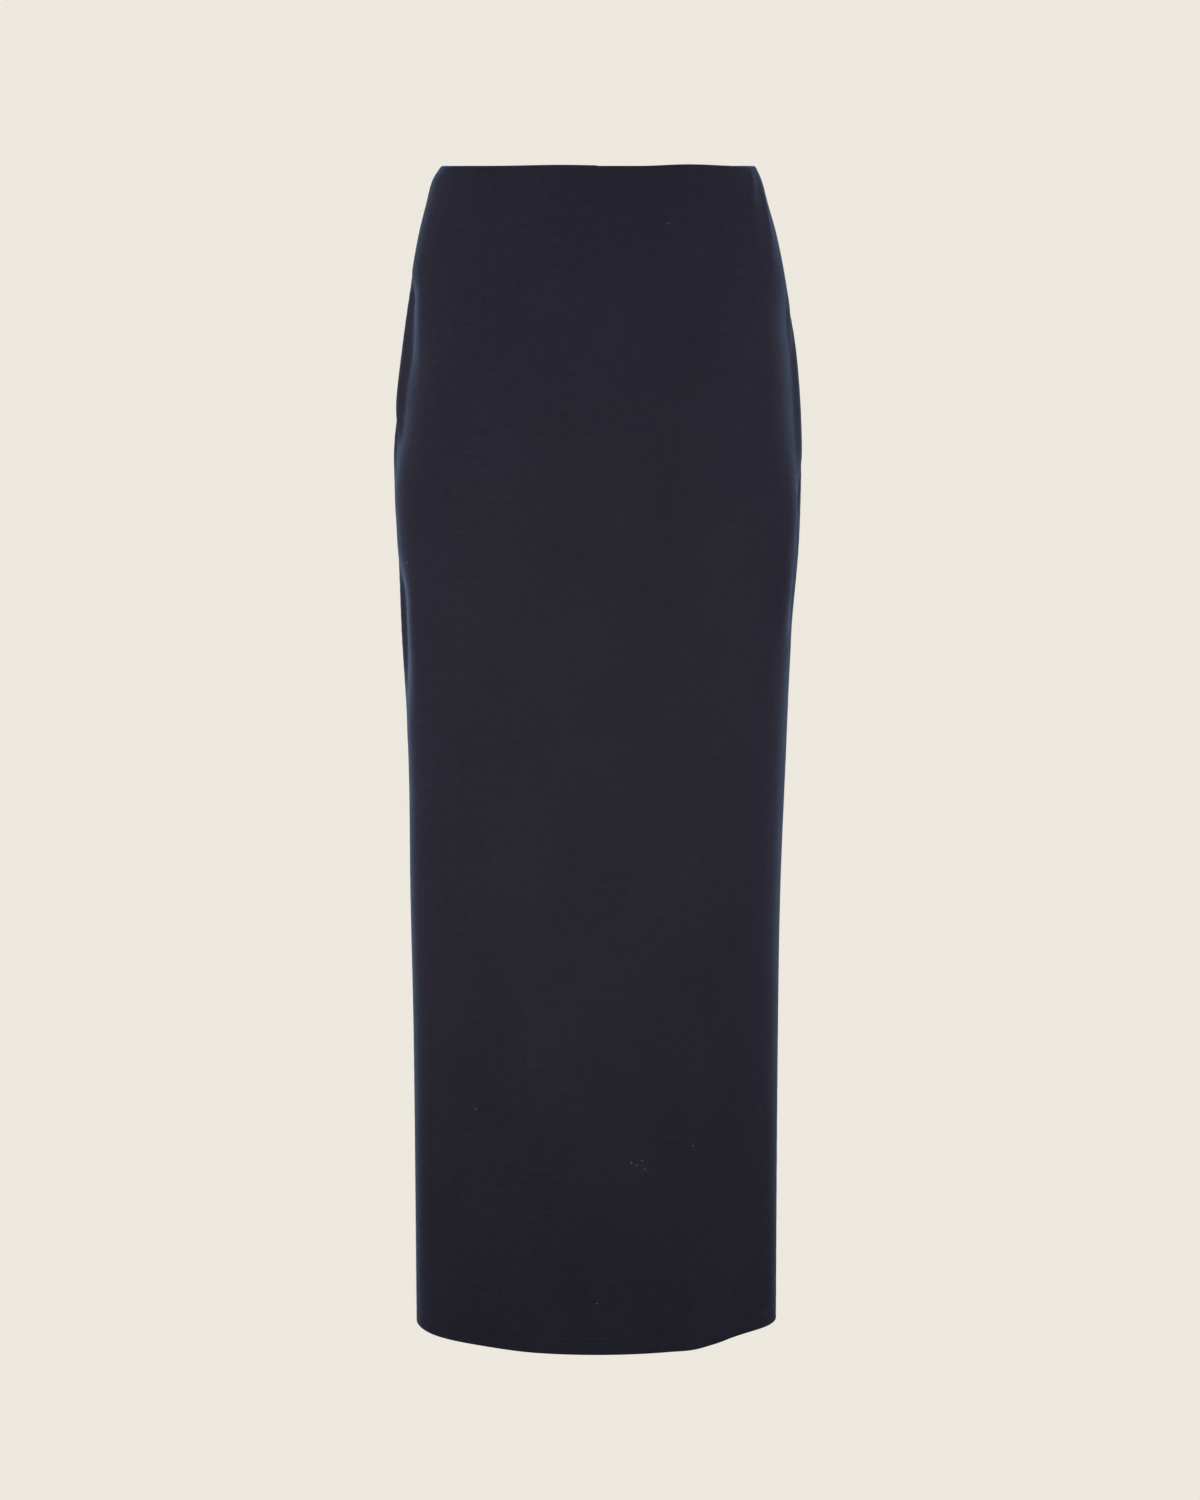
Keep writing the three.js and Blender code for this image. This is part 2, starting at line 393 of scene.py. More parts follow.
def mesh_object(name, points, faces, material, uv=None):
    """A smooth object of points in millimetres, with one UV pair in millimetres for each point."""
    mesh = bpy.data.meshes.new(name)
    mesh.from_pydata((points * MM).tolist(), [], faces)
    mesh.polygons.foreach_set("use_smooth", [True] * len(mesh.polygons))
    if uv is not None:
        corners = np.zeros(len(mesh.loops), np.int32)
        mesh.loops.foreach_get("vertex_index", corners)
        layer = mesh.uv_layers.new(name="cloth")
        layer.data.foreach_set("uv", (uv[corners] * MM).astype(np.float32).ravel())
    mesh.materials.append(material)
    mesh.update()
    obj = bpy.data.objects.new(name, mesh)
    bpy.context.scene.collection.objects.link(obj)
    return obj


def shell(name, place, rows, columns, material, uv):
    """A closed wall: place(side) gives its points with side 1 on the right side and -1 behind."""
    right_side, wrong_side = (place(side).reshape(-1, 3) for side in (1.0, -1.0))
    points = np.concatenate([right_side, wrong_side])
    sheet = rows * columns
    faces = np.concatenate([
        grid_faces(rows, columns, 0, False),
        grid_faces(rows, columns, sheet, True),
        rim_faces(rows, columns, sheet),
    ])
    return mesh_object(name, points, faces.tolist(), material, np.concatenate([uv, uv]))


def panel(name, middle, span, material):
    """One panel as a single length of cloth, turned in at the waist and at the hem."""
    sizes = bpy.context.scene.skirt_sizes
    path = cloth_path()
    angles = wrapped(column_angles(math.radians(middle), math.radians(span)))
    z, angle = np.meshgrid(path.z, angles, indexing="ij")
    room = sizes.allowance_room * path.turned[:, None] * allowance_window(z, angle)

    def place(side):
        half = side * sizes.cloth / 2
        level = z + path.up[:, None] * half
        depth = path.depth[:, None] - path.out[:, None] * half + room
        return cloth_point(level, angle, depth)

    middle_points = place(0.0)
    steps = np.linalg.norm(np.diff(middle_points, axis=1), axis=-1)
    across = np.concatenate([np.zeros((len(path.z), 1)), np.cumsum(steps, axis=1)], axis=1)
    across -= across[:, [across.shape[1] // 2]]
    lengths = np.hypot(np.diff(path.z), np.diff(path.depth))
    along = np.concatenate([[0], np.cumsum(lengths)])[:, None] + np.zeros_like(across)
    uv = np.stack([across, along], -1).reshape(-1, 2)
    return shell(name, place, *z.shape, material, uv)


WINDOW_MARGIN = 6.0  # how far beyond the allowance a turning is back at its own depth
WINDOW_SLOPE = 4.0  # over what breadth it rises


def allowance_window(z, angle):
    """1 where the seam allowance lies under a turning, falling to 0 beside it."""
    sizes = bpy.context.scene.skirt_sizes
    off = from_seam(z, angle)
    behind = sizes.seam_allowance + WINDOW_MARGIN - off
    return smoothstep((off + WINDOW_MARGIN) / WINDOW_SLOPE) * smoothstep(behind / WINDOW_SLOPE)


CUT_LEVELS, CUT_DIRECTIONS = 201, 181  # how many of each a panel is measured at


def panel_cut(span, side):
    """Flat width, length and area of one panel's cut, without its side allowances, in metres."""
    sizes = bpy.context.scene.skirt_sizes
    z = np.linspace(0, -LENGTH, CUT_LEVELS)[:, None]
    directions = np.radians(np.linspace(-span, span, CUT_DIRECTIONS))
    angle = wrapped(math.radians(side) + directions)[None]
    outline = body_point(*np.broadcast_arrays(z, angle))
    girth = np.linalg.norm(np.diff(outline, axis=1), axis=-1).sum(1)
    turnings = girth[0] * sizes.waist_turning + girth[-1] * sizes.hem_turning
    area = girth.mean() * LENGTH + turnings
    length = LENGTH + sizes.waist_turning + sizes.hem_turning
    return girth.max() * MM, length * MM, area * MM * MM


UPRIGHT = 0.2  # a thread whose level part is less than this is taken to run straight up or down


def tube(points, radius, sides, closed=False):
    """Vertices and faces of a thread that follows points, closed or with blunt ends."""
    ahead = np.roll(points, -1, 0) - np.roll(points, 1, 0)
    if not closed:
        ahead[0], ahead[-1] = points[1] - points[0], points[-1] - points[-2]
    ahead /= np.linalg.norm(ahead, axis=1, keepdims=True)
    across = np.cross(ahead, (0.0, 0.0, 1.0))
    upright = np.linalg.norm(across, axis=1) < UPRIGHT
    across[upright] = np.cross(ahead[upright], (0.0, 1.0, 0.0))
    across /= np.linalg.norm(across, axis=1, keepdims=True)
    other = np.cross(across, ahead)
    turn = np.linspace(0, 2 * np.pi, sides, endpoint=False)
    width = np.broadcast_to(np.asarray(radius, float), len(points))[:, None, None]
    ring = np.cos(turn)[None, :, None] * across[:, None] + np.sin(turn)[None, :, None] * other[:, None]
    vertices = (points[:, None] + ring * width).reshape(-1, 3)
    count = len(points) if closed else len(points) - 1
    faces = []
    for i in range(count):
        this, following = i * sides, (i + 1) % len(points) * sides
        for k in range(sides):
            n = (k + 1) % sides
            faces.append((this + k, following + k, following + n, this + n))
    if not closed:
        faces.append(tuple(range(sides)))
        faces.append(tuple(range(len(vertices) - sides, len(vertices)))[::-1])
    return vertices, faces


def thread_object(name, threads, material):
    """Threads joined into one piece, each given as its vertices and faces."""
    vertices, faces, first = [], [], 0
    for thread_vertices, thread_faces in threads:
        vertices.append(thread_vertices)
        faces.extend(tuple(corner + first for corner in face) for face in thread_faces)
        first += len(thread_vertices)
    return mesh_object(name, np.concatenate(vertices), faces, material)


GIRTH_MARKS = 2001  # how many directions a girth is measured at


def girth_angles(z, pitch):
    """Angles all round at height z, evenly spaced along the cloth at about the given pitch."""
    fine = np.linspace(-np.pi, np.pi, GIRTH_MARKS)
    outline = body_point(np.full_like(fine, z), fine)
    lengths = np.concatenate([[0], np.cumsum(np.linalg.norm(np.diff(outline, axis=0), axis=1))])
    count = round(lengths[-1] / pitch)
    marks = np.arange(count) * lengths[-1] / count
    return np.interp(marks, lengths, fine)


def winding(z, pitch, steps):
    """A thread that goes once round at height z: the turns made at each point, and its angles."""
    angles = girth_angles(z, pitch)
    turns = np.arange(len(angles) * steps) / steps
    around = np.append(angles, angles[0] + 2 * np.pi)
    return turns, wrapped(np.interp(turns, np.arange(len(around)), around))


# Materials.


def add_node(tree, kind, inputs=None, **settings):
    """A node with its settings and its input values or links."""
    made = tree.nodes.new(kind)
    for key, value in settings.items():
        setattr(made, key, value)
    for key, value in (inputs or {}).items():
        if isinstance(value, bpy.types.NodeSocket):
            tree.links.new(value, made.inputs[key])
        else:
            made.inputs[key].default_value = value
    return made


def maths(tree, operation, first, second=0.0):
    """The result of a maths node, from numbers or links."""
    return add_node(tree, "ShaderNodeMath", {0: first, 1: second}, operation=operation).outputs[0]


def new_material(name):
    """A material with only its shader and output, and the two as (material, tree, shader)."""
    made = bpy.data.materials.new(name)
    made.use_nodes = True
    tree = made.node_tree
    tree.nodes.clear()
    shader = add_node(tree, "ShaderNodeBsdfPrincipled")
    output = add_node(tree, "ShaderNodeOutputMaterial")
    tree.links.new(shader.outputs[0], output.inputs["Surface"])
    return made, tree, shader


def shaded(tree, colour, share):
    """The colour made lighter or darker by share, a number that is 1 for no change."""
    tint = add_node(tree, "ShaderNodeVectorMath", {0: tuple(colour[:3])}, operation="SCALE")
    tree.links.new(share, tint.inputs["Scale"])
    return tint.outputs[0]


def ranged(tree, value, low, high, to_low, to_high):
    """Value spread from low..high to another range, and held inside it."""
    inputs = {"Value": value, "From Min": low, "From Max": high, "To Min": to_low, "To Max": to_high}
    return add_node(tree, "ShaderNodeMapRange", inputs).outputs[0]


NOISE_RANGE = (0.3, 0.7)  # where most of a noise's values lie


class Unevenness(NamedTuple):
    """A noise in the jersey's colour: cycles a metre, detail, and the shares that it goes between."""
    across: float
    along: float
    detail: float
    dark: float
    light: float


SLUBS = Unevenness(150, 900, 2.0, 0.92, 1.09)
LONG_SLUBS = Unevenness(22, 600, 2.0, 0.96, 1.04)
MOTTLING = Unevenness(120, 190, 2.0, 0.94, 1.06)
WALE_STREAKS = Unevenness(600, 25, 2.0, 0.97, 1.03)
CLOUDS = Unevenness(14, 9, 3.0, 0.94, 1.06)
FUZZ = 2600  # cycles a metre of the fine fibres, which show only in the bump
LOOP_SLANT = 1.3  # courses by which a knit loop rises towards the middle of its wale
RIDGE_PART = 0.6  # how much of the knit is its ridges, and the rest is its loops
KNIT_PAINTED_SHADE = (0.88, 1.10)  # shares of the colour: painted shade between the ridges and painted light on them
FUZZ_HEIGHT, SLUB_HEIGHT = 0.7, 1.2  # against the knit's own
JERSEY_BUMP = 0.08 * MM


def jersey_material():
    """Fine single jersey: knit loops with painted shade between their ridges and painted light on them,
    slubs, mottling, streaks, clouds, and a faint cool sheen.
    """
    colours = bpy.context.scene.skirt_colours
    sizes = bpy.context.scene.skirt_sizes
    made, tree, shader = new_material("jersey")
    place = add_node(tree, "ShaderNodeUVMap", uv_map="cloth").outputs[0]
    split = add_node(tree, "ShaderNodeSeparateXYZ", {0: place})
    wales = maths(tree, "DIVIDE", split.outputs[0], sizes.wale * MM)
    courses = maths(tree, "DIVIDE", split.outputs[1], sizes.course * MM)
    leg = maths(tree, "PINGPONG", wales, 0.5)
    ridge = maths(tree, "SINE", maths(tree, "MULTIPLY", leg, 2 * math.pi))
    slant = maths(tree, "ADD", courses, maths(tree, "MULTIPLY", leg, LOOP_SLANT))
    loop = maths(tree, "SINE", maths(tree, "MULTIPLY", slant, 2 * math.pi))
    ridges = maths(tree, "MULTIPLY", ridge, RIDGE_PART)
    knit = maths(tree, "ADD", ridges, maths(tree, "MULTIPLY", loop, 1 - RIDGE_PART))

    def noise(across, along, detail):
        scaled = add_node(tree, "ShaderNodeMapping", {"Vector": place, "Scale": (across, along, 1.0)})
        inputs = {"Vector": scaled.outputs[0], "Scale": 1.0, "Detail": detail, "Roughness": 0.55}
        return add_node(tree, "ShaderNodeTexNoise", inputs).outputs[0]

    def uneven(row):
        value = noise(row.across, row.along, row.detail)
        return value, ranged(tree, value, *NOISE_RANGE, row.dark, row.light)

    slubs, share = uneven(SLUBS)
    for row in (LONG_SLUBS, MOTTLING, WALE_STREAKS, CLOUDS):
        share = maths(tree, "MULTIPLY", share, uneven(row)[1])
    # The knit's height makes the colour darker between its ridges and lighter on them: painted shade and
    # painted light.
    share = maths(tree, "MULTIPLY", share, ranged(tree, knit, -1.0, 1.0, *KNIT_PAINTED_SHADE))
    tree.links.new(shaded(tree, colours.jersey, share), shader.inputs["Base Color"])
    tree.links.new(ranged(tree, slubs, 0.2, 0.8, 0.74, 0.86), shader.inputs["Roughness"])
    height = maths(tree, "ADD", knit, maths(tree, "MULTIPLY", noise(FUZZ, FUZZ, 2.0), FUZZ_HEIGHT))
    height = maths(tree, "ADD", height, maths(tree, "MULTIPLY", slubs, SLUB_HEIGHT))
    bump = add_node(tree, "ShaderNodeBump", {"Strength": 0.5, "Distance": JERSEY_BUMP, "Height": height})
    tree.links.new(bump.outputs[0], shader.inputs["Normal"])
    shader.inputs["Specular IOR Level"].default_value = 0.0
    shader.inputs["Sheen Weight"].default_value = 0.45
    shader.inputs["Sheen Roughness"].default_value = 0.22
    shader.inputs["Sheen Tint"].default_value = (*colours.sheen, 1.0)
    return made


TWIST_SCALE, PATCH_SCALE = 1900.0, 240.0  # of the thread's twist and of its uneven dye
THREAD_BUMP = 0.05 * MM


def thread_material(name, colour):
    """Twisted sewing thread, with painted shade in the grooves of its twist and painted light on its
    ridges.
    """
    made, tree, shader = new_material(name)
    place = add_node(tree, "ShaderNodeTexCoord").outputs["Object"]
    inputs = {"Vector": place, "Scale": TWIST_SCALE, "Distortion": 1.5, "Detail": 1.0}
    twist = add_node(tree, "ShaderNodeTexWave", inputs, bands_direction="DIAGONAL").outputs["Fac"]
    patches = add_node(tree, "ShaderNodeTexNoise", {"Vector": place, "Scale": PATCH_SCALE, "Detail": 2.0})
    # The twist makes the colour darker in its grooves and lighter on its ridges, painted shade and painted
    # light; the patches are uneven dye.
    share = maths(tree, "MULTIPLY", ranged(tree, twist, 0.0, 1.0, 0.82, 1.12),
                  ranged(tree, patches.outputs[0], *NOISE_RANGE, 0.9, 1.1))
    tree.links.new(shaded(tree, colour, share), shader.inputs["Base Color"])
    tree.links.new(ranged(tree, twist, 0.0, 1.0, 0.62, 0.48), shader.inputs["Roughness"])
    bump = add_node(tree, "ShaderNodeBump", {"Strength": 0.4, "Distance": THREAD_BUMP, "Height": twist})
    tree.links.new(bump.outputs[0], shader.inputs["Normal"])
    shader.inputs["Specular IOR Level"].default_value = 0.1
    return made


PAPER_NEAR, PAPER_FAR = 0.2, 1.8  # metres behind the skirt between which the paper's glow grows to full, with painted shade on the floor in front
# share of the glow left in front of the skirt: painted shade on the floor there
PAPER_NEAR_SHARE = 0.12
PAPER_GLOW = 0.965


def stage_material():
    """Paper that glows in its pale colour, evenly behind the skirt and much less in front of it, where the
    floor has painted shade.
    """
    colours = bpy.context.scene.skirt_colours
    made, tree, shader = new_material("glowing_paper")
    place = add_node(tree, "ShaderNodeTexCoord").outputs["Object"]
    grain = add_node(tree, "ShaderNodeTexNoise", {"Vector": place, "Scale": 3.0, "Detail": 2.0})
    split = add_node(tree, "ShaderNodeSeparateXYZ", {0: place})
    # The glow fades towards the front by the paper's own place, painted shade on the floor in front of the
    # skirt.
    share = maths(tree, "MULTIPLY", ranged(tree, grain.outputs[0], *NOISE_RANGE, 0.998, 1.002),
                  ranged(tree, split.outputs[1], PAPER_NEAR, PAPER_FAR, PAPER_NEAR_SHARE, 1.0))
    paper = shaded(tree, colours.stage, share)
    # The paper itself is near black; its pale look is its own glow.
    shader.inputs["Base Color"].default_value = (0.02, 0.02, 0.02, 1.0)
    tree.links.new(paper, shader.inputs["Emission Color"])
    shader.inputs["Emission Strength"].default_value = PAPER_GLOW
    shader.inputs["Roughness"].default_value = 1.0
    shader.inputs["Specular IOR Level"].default_value = 0.0
    return made


# What a user may change.


def length_property(name, description, default):
    """A length in millimetres that a user may change."""
    return FloatProperty(name=name, description=description, default=default, min=0.01, max=200.0)


def colour_property(name, description, default):
    """A colour that a user may change."""
    return FloatVectorProperty(name=name, description=description, default=default,
                               subtype="COLOR", size=3, min=0.0, max=1.0)


class SkirtSizes(bpy.types.PropertyGroup):
    """Sizes of the cloth and the sewing, in millimetres."""
    cloth: length_property("Cloth", "Thickness of one layer of jersey", 1.1)
    waist_turning: length_property("Waist turning", "Cloth turned down inside the top edge", 32.0)
    hem_turning: length_property("Hem turning", "Cloth turned up inside the hem", 17.0)
    waist_layer_gap: length_property("Waist layer gap", "Room for the elastic in the waist turning", 0.9)
    hem_layer_gap: length_property("Hem layer gap", "Air between the two layers of the hem", 0.2)
    seam_gap: length_property("Seam gap", "Between the two panels' edges at a side seam", 0.1)
    seam_dip: length_property("Seam dip", "How deep the cloth rolls in at a side seam", 0.9)
    seam_dip_reach: length_property("Seam dip reach", "How wide that roll is", 1.7)
    seam_pucker: length_property("Seam pucker", "Height of the small waves beside a seam", 0.14)
    seam_pucker_pitch: length_property("Seam pucker pitch", "Length of one of those waves", 11.0)
    seam_allowance: length_property("Seam allowance", "Cloth beyond the seam, inside", 7.0)
    allowance_room: length_property("Allowance room", "How far a turning rises over an allowance", 2.4)
    hem_row_low: length_property("Lower hem row", "Lower row of stitches, above the hem edge", 11.3)
    hem_row_high: length_property("Upper hem row", "Upper row of stitches, above the hem edge", 15.0)
    hem_row_dip: length_property("Hem row dip", "How far a row of stitches pulls in", 0.22)
    stitch_pitch: length_property("Stitch pitch", "From one stitch to the next", 2.9)
    stitch_share: length_property("Stitch share", "Share of the pitch that a stitch covers", 0.8)
    thread: length_property("Thread", "Diameter of the sewing thread", 0.32)
    overlock_pitch: length_property("Overlock pitch", "From one overlock loop to the next", 3.0)
    overlock_width: length_property("Overlock width", "How far a loop reaches in from the edge", 4.5)
    wale: length_property("Wale", "Breadth of one column of knit loops", 0.72)
    course: length_property("Course", "Height of one row of knit loops", 0.55)


class SkirtColours(bpy.types.PropertyGroup):
    """Colours of the cloth, the threads and the stage."""
    jersey: colour_property("Jersey", "Dark navy of the cloth", (0.0270, 0.0239, 0.0348))
    sheen: colour_property("Sheen", "Tint of the cloth's sheen at its edges", (0.40, 0.62, 1.0))
    thread: colour_property("Thread", "Navy of the hem stitches", (0.0285, 0.026, 0.0385))
    lint: colour_property("Lint", "Pale grey of the specks of lint", (0.32, 0.33, 0.36))
    # The floor and the backdrop glow in this colour, fading to painted shade in front of the skirt.
    stage: colour_property("Stage", "Cream of the floor and the backdrop", (0.871, 0.831, 0.753))


# The camera, the light and the stage.

CAMERA_PLACE = (0.0025, -3.5, 0.0)  # metres
CAMERA_TILT = 8.073  # degrees that it looks down
CAMERA_LENS, CAMERA_SENSOR = 98.85, 36.0
SKY_COLOUR, SKY_STRENGTH = (0.74, 0.82, 0.96, 1.0), 0.35
FLOOR, WALL, BACKDROP_BEND = -1900.0, 7000.0, 1800.0  # its level, its distance, the curve between them
FLOOR_FRONT, WALL_TOP, BACKDROP_SIDE = -9000.0, 8000.0, 11000.0  # how far they reach
BACKDROP_STEPS = 17


class StudioLight(NamedTuple):
    """A soft box in metres and watts, the point that it faces and how far its light spreads."""
    name: str
    place: tuple
    aim: tuple
    width: float
    height: float
    watts: float
    spread: float
    colour: tuple


STUDIO_LIGHTS = [
    StudioLight("front_box", (-0.2, -3.3, -0.2), (0, 0, -0.53), 0.7, 0.7, 0.93, 23, (1.0, 0.96, 0.88)),
    StudioLight("top_front_box", (0.1, -2.6, 0.9), (0.02, 0, 0.04), 0.4, 0.4, 0.10, 22, (0.72, 0.86, 1.0)),
    StudioLight("left_side_box", (-2.0, -0.55, 0.05), (0, 0, -0.30), 0.5, 0.7, 6.6, 100, (0.90, 0.95, 1.0)),
    StudioLight("right_side_box", (1.9, -1.1, 0.05), (0, 0, -0.30), 0.5, 0.7, 6.0, 100, (0.93, 0.95, 1.0)),
    StudioLight("left_strip", (-1.5, 1.6, 0.1), (0, 0, -0.16), 0.4, 0.9, 1.5, 40, (0.80, 0.90, 1.0)),
    StudioLight("right_strip", (1.5, 1.6, 0.1), (0, 0, -0.26), 0.4, 0.9, 2.8, 40, (0.80, 0.90, 1.0)),
    StudioLight("back_soft_box", (0, 3.2, 0.5), (0, 0, -0.50), 0.8, 0.8, 3.0, 40, (1.0, 0.97, 0.95)),
]


# Operators, one for each piece or group of like pieces.


class SKIRT_OT_stage(bpy.types.Operator):
    """Add the camera, the pale floor and backdrop, and soft studio light"""
    bl_idname = "skirt.stage"
    bl_label = "Stage"

    def execute(self, context):
        camera_data = bpy.data.cameras.new("camera")
        camera_data.lens = CAMERA_LENS
        camera_data.sensor_width = CAMERA_SENSOR
        camera = bpy.data.objects.new("camera", camera_data)
        camera.location = CAMERA_PLACE
        camera.rotation_euler = (math.radians(90 - CAMERA_TILT), 0.0, 0.0)
        context.scene.collection.objects.link(camera)
        context.scene.camera = camera
        context.scene.view_settings.view_transform = "Standard"
        self.add_backdrop()
        for light in STUDIO_LIGHTS:
            self.add_light(context, light)
        world = bpy.data.worlds.new("studio")
        world.use_nodes = True
        background = world.node_tree.nodes["Background"]
        background.inputs["Color"].default_value = SKY_COLOUR
        background.inputs["Strength"].default_value = SKY_STRENGTH
        context.scene.world = world
        return {"FINISHED"}

    def add_backdrop(self):
        """A floor that curves up into a wall behind the skirt."""
        middle_y, middle_z = WALL - BACKDROP_BEND, FLOOR + BACKDROP_BEND
        profile = [(FLOOR_FRONT, FLOOR)]
        for turn in np.radians(np.linspace(-90, 0, BACKDROP_STEPS)):
            y, z = middle_y + BACKDROP_BEND * math.cos(turn), middle_z + BACKDROP_BEND * math.sin(turn)
            profile.append((y, z))
        profile.append((WALL, WALL_TOP))
        points = np.array([(x, y, z) for y, z in profile for x in (-BACKDROP_SIDE, BACKDROP_SIDE)])
        faces = [(2 * i, 2 * i + 1, 2 * i + 3, 2 * i + 2) for i in range(len(profile) - 1)]
        backdrop = mesh_object("floor_and_backdrop", points, faces, stage_material())

    def add_light(self, context, light):
        """A soft box that faces its aim."""
        data = bpy.data.lights.new(light.name, "AREA")
        data.shape = "RECTANGLE"
        data.size, data.size_y = light.width, light.height
        data.energy = light.watts
        data.spread = math.radians(light.spread)
        data.color = light.colour
        lamp = bpy.data.objects.new(light.name, data)
        lamp.location = light.place
        aim = Vector(light.aim) - Vector(light.place)
        lamp.rotation_euler = aim.to_track_quat("-Z", "Y").to_euler()
        context.scene.collection.objects.link(lamp)


class SKIRT_OT_panels(bpy.types.Operator):
    """Make the front panel and the back panel, each turned in at the waist and the hem"""
    bl_idname = "skirt.panels"
    bl_label = "Panels"

    def execute(self, context):
        jersey = jersey_material()
        gap = math.degrees(context.scene.skirt_sizes.seam_gap / 2 / HIP)
        for name, node, middle, span in (
            ("front_cloth", "front_panel", 0.0, SEAM_ANGLE),
            ("back_cloth", "back_panel", 180.0, 180.0 - SEAM_ANGLE),
        ):
            cloth = panel(name, middle, span - gap, jersey)
            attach(cloth, "root")
            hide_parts(node)
            width, length, area = panel_cut(span, middle)
        return {"FINISHED"}


ALLOWANCE_END = 6.0  # how far it ends below the top edge and above the hem edge
ALLOWANCE_START = -2.2  # where it starts, just before the seam
ALLOWANCE_GAP = 0.08  # between it and the panel
ALLOWANCE_ROWS, ALLOWANCE_COLUMNS = 180, 10
ALLOWANCE_WAVE, ALLOWANCE_WAVE_LENGTH = 0.25, 17.0  # its raw edge's wave: height, and length a radian
THREAD_SIDES = 4
OVERLOCK_END = 8.0  # as ALLOWANCE_END, for the thread
OVERLOCK_STEPS = 10  # points in one loop
OVERLOCK_OVERHANG = 0.4  # how far a loop reaches past the raw edge
OVERLOCK_SLACK = 0.1  # between a loop and the cloth
OVERLOCK_GAP = 0.35  # from the panel to the allowances that a loop holds


class SKIRT_OT_seam_allowances(bpy.types.Operator):
    """Make the two layers of seam allowance inside each side seam, with their overlocked edges"""
    bl_idname = "skirt.seam_allowances"
    bl_label = "Seam allowances"

    def execute(self, context):
        jersey = bpy.data.materials["jersey"]
        thread = thread_material("overlock_thread", context.scene.skirt_colours.thread)
        for side, sign in (("left", -1), ("right", 1)):
            strip = self.strip(context, f"{side}_seam_allowance", sign, jersey)
            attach(strip, "root")
            overlock = self.overlock(context, f"{side}_seam_overlock", sign, thread)
            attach(overlock, "root")
        return {"FINISHED"}

    def strip(self, context, name, sign, material):
        """Both allowances together, from just before the seam to their raw edges behind it."""
        sizes = context.scene.skirt_sizes
        z = np.linspace(-ALLOWANCE_END, -LENGTH + ALLOWANCE_END, ALLOWANCE_ROWS)
        off = np.linspace(ALLOWANCE_START, sizes.seam_allowance, ALLOWANCE_COLUMNS)
        level, away = np.meshgrid(z, off, indexing="ij")
        angle = angle_beside_seam(level, away, sign)
        thickness = 2 * sizes.cloth
        wave = ALLOWANCE_WAVE * np.sin(level / ALLOWANCE_WAVE_LENGTH)
        wave *= smoothstep(away / sizes.seam_allowance)

        def place(side):
            depth = sizes.cloth + ALLOWANCE_GAP + thickness / 2 - side * thickness / 2
            return cloth_point(level, angle, depth + wave + ALLOWANCE_WAVE)

        uv = np.stack([away, level], -1).reshape(-1, 2)
        made = shell(name, place, *level.shape, material, uv)
        if sign < 0:
            made.data.flip_normals()
        return made

    def overlock(self, context, name, sign, material):
        """A thread that winds round the raw edges all the way down."""
        sizes = context.scene.skirt_sizes
        turns = round((LENGTH - 2 * OVERLOCK_END) / sizes.overlock_pitch)
        t = np.linspace(0, turns, turns * OVERLOCK_STEPS + 1)
        z = -OVERLOCK_END - t * sizes.overlock_pitch
        half_width = sizes.overlock_width / 2
        half_depth = sizes.cloth + sizes.thread / 2 + OVERLOCK_SLACK
        middle = sizes.seam_allowance - half_width + OVERLOCK_OVERHANG
        away = middle + half_width * np.cos(2 * np.pi * t)
        depth = sizes.cloth + OVERLOCK_GAP + sizes.cloth + half_depth * np.sin(2 * np.pi * t)
        points = cloth_point(z, angle_beside_seam(z, away, sign), depth)
        return thread_object(name, [tube(points, sizes.thread / 2, THREAD_SIDES)], material)


STITCH_POINTS, STITCH_SIDES = 7, 6
STITCH_END_SINK, STITCH_LIFT = 0.9, 0.25  # of the thread: how far its ends sink and its middle stands
STITCH_TAPER = 0.35  # how much thinner the thread is where it goes into the cloth
COVER_STEPS = 4  # points from one row to the other
COVER_LIFT = 0.35  # share of the thread that its middle stands off the cloth


class SKIRT_OT_hem_stitching(bpy.types.Operator):
    """Make the twin rows of stitches round the hem and the cover thread inside it"""
    bl_idname = "skirt.hem_stitching"
    bl_label = "Hem stitching"

    def execute(self, context):
        thread = thread_material("hem_thread", context.scene.skirt_colours.thread)
        rows = self.rows(context, thread)
        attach(rows, "root")
        cover = self.cover(context, thread)
        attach(cover, "root")
        return {"FINISHED"}

    def rows(self, context, material):
        """Short stitches that sink into the cloth at both ends."""
        sizes = context.scene.skirt_sizes
        t = np.linspace(-0.5, 0.5, STITCH_POINTS)
        ends = (2 * t) ** 4
        sunk = sizes.thread * (STITCH_END_SINK * ends - STITCH_LIFT)
        radius = sizes.thread / 2 * (1 - STITCH_TAPER * ends)
        stitches = []
        for height in (sizes.hem_row_low, sizes.hem_row_high):
            z = np.full_like(t, -LENGTH + height)
            angles = girth_angles(z[0], sizes.stitch_pitch)
            step = np.median(np.diff(angles))
            for angle in angles:
                points = cloth_point(z, wrapped(angle + t * step * sizes.stitch_share), sunk)
                stitches.append(tube(points, radius, STITCH_SIDES))
        return thread_object("hem_stitch_rows", stitches, material)

    def cover(self, context, material):
        """The thread that runs to and fro between the two rows on the inside."""
        sizes = context.scene.skirt_sizes
        low, high = -LENGTH + sizes.hem_row_low, -LENGTH + sizes.hem_row_high
        turns, angle = winding(low, sizes.stitch_pitch / 2, COVER_STEPS)
        z = low + (high - low) * (0.5 - 0.5 * np.cos(np.pi * turns))
        inner = 2 * sizes.cloth + sizes.hem_layer_gap
        room = sizes.allowance_room * allowance_window(z, angle)
        points = cloth_point(z, angle, inner + room + sizes.thread * COVER_LIFT)
        thread = tube(points, sizes.thread / 2, THREAD_SIDES, closed=True)
        return thread_object("hem_cover_thread", [thread], material)


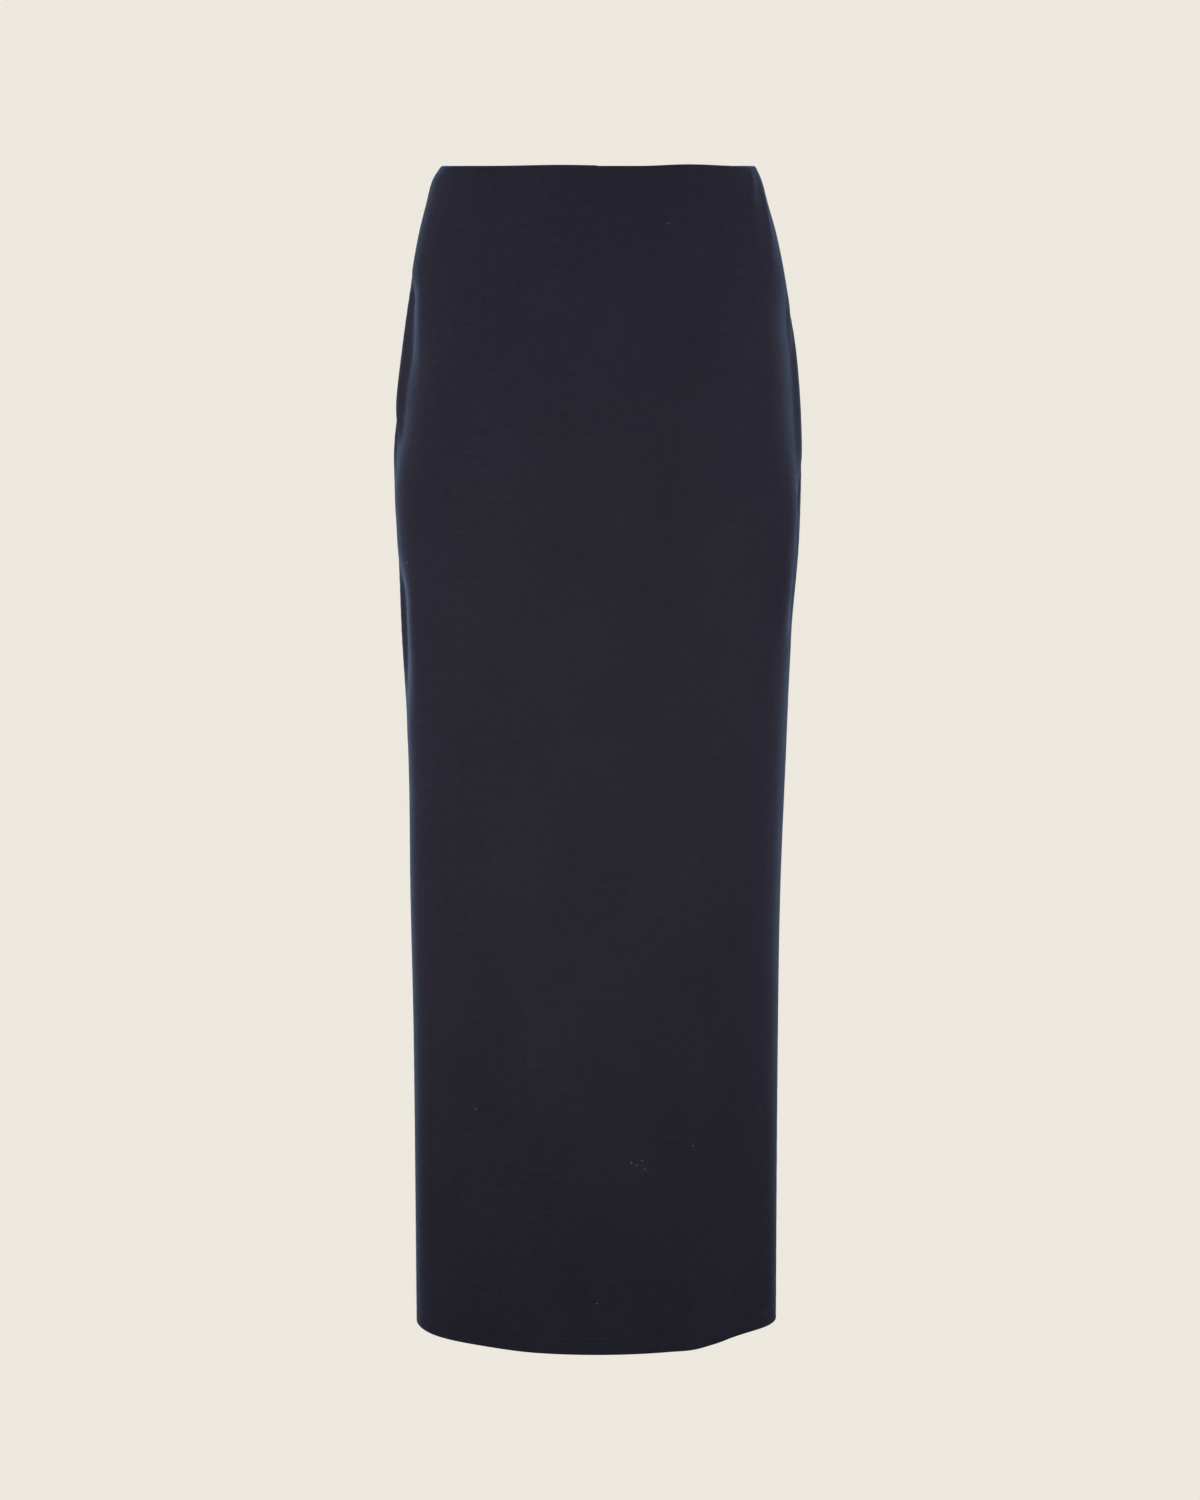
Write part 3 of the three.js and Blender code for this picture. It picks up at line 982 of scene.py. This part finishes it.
class SKIRT_OT_waist_overlock(bpy.types.Operator):
    """Make the overlock thread round the raw edge of the waist turning"""
    bl_idname = "skirt.waist_overlock"
    bl_label = "Waist overlock"

    def execute(self, context):
        sizes = context.scene.skirt_sizes
        edge = -sizes.waist_turning
        turns, angle = winding(edge, sizes.overlock_pitch, OVERLOCK_STEPS)
        half_width = sizes.overlock_width / 2
        z = edge + half_width - OVERLOCK_OVERHANG + half_width * np.cos(2 * np.pi * turns)
        room = sizes.allowance_room * allowance_window(z, angle)
        middle = sizes.cloth * 1.5 + sizes.waist_layer_gap
        depth = middle + room + (sizes.cloth / 2 + sizes.thread / 2) * np.sin(2 * np.pi * turns)
        points = cloth_point(z, angle, depth)
        thread = tube(points, sizes.thread / 2, THREAD_SIDES, closed=True)
        overlock = thread_object("waist_overlock", [thread], bpy.data.materials["overlock_thread"])
        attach(overlock, "root")
        return {"FINISHED"}


FIBRE_POINTS, FIBRE_SIDES = 9, 5
FIBRE_RADIUS = 0.11
FIBRE_BEND, FIBRE_TURN = 0.4, 3.4  # its curl: radius as a share of its length, and radians
FIBRE_LIFT, FIBRE_ARCH = 0.12, 0.1  # how far off the cloth its ends lie, and how much more its middle


class SKIRT_OT_lint(bpy.types.Operator):
    """Make the few specks of pale lint that cling to the cloth"""
    bl_idname = "skirt.lint"
    bl_label = "Lint"

    def execute(self, context):
        fibre = thread_material("lint_fibre", context.scene.skirt_colours.lint)
        t = np.linspace(0, 1, FIBRE_POINTS)
        depth = -FIBRE_LIFT - FIBRE_ARCH * np.sin(np.pi * t)
        specks = []
        for speck in LINT:
            curl = speck.turn + FIBRE_TURN * t
            across = speck.length * FIBRE_BEND * np.cos(curl)
            rise = speck.length * FIBRE_BEND * np.sin(curl)
            radius = np.linalg.norm(body_point(speck.z, math.radians(speck.angle)))
            angle = math.radians(speck.angle) + across / radius
            points = cloth_point(speck.z + rise, angle, depth)
            specks.append(tube(points, FIBRE_RADIUS, FIBRE_SIDES))
        lint = thread_object("lint", specks, fibre)
        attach(lint, "root")
        return {"FINISHED"}


class SKIRT_PT_panel(bpy.types.Panel):
    """Sidebar panel that lists the steps and the sizes"""
    bl_label = "Pencil skirt"
    bl_idname = "SKIRT_PT_panel"
    bl_space_type = "VIEW_3D"
    bl_region_type = "UI"
    bl_category = "Skirt"

    def draw(self, context):
        for operator in OPERATORS:
            self.layout.operator(operator.bl_idname)
        for group in (context.scene.skirt_sizes, context.scene.skirt_colours):
            for name in group.__annotations__:
                self.layout.prop(group, name)


OPERATORS = (
    SKIRT_OT_stage,
    SKIRT_OT_panels,
    SKIRT_OT_seam_allowances,
    SKIRT_OT_hem_stitching,
    SKIRT_OT_waist_overlock,
    SKIRT_OT_lint,
)
CLASSES = (SkirtSizes, SkirtColours, *OPERATORS, SKIRT_PT_panel)


def register():
    for cls in CLASSES:
        bpy.utils.register_class(cls)
    bpy.types.Scene.skirt_sizes = PointerProperty(type=SkirtSizes)
    bpy.types.Scene.skirt_colours = PointerProperty(type=SkirtColours)


def unregister():
    del bpy.types.Scene.skirt_colours
    del bpy.types.Scene.skirt_sizes
    for cls in reversed(CLASSES):
        bpy.utils.unregister_class(cls)


def main():
    """Make the whole scene."""
    register()
    bpy.ops.skirt.stage()
    bpy.ops.skirt.panels()
    bpy.ops.skirt.seam_allowances()
    bpy.ops.skirt.hem_stitching()
    bpy.ops.skirt.waist_overlock()
    bpy.ops.skirt.lint()


if __name__ == "__main__":
    main()
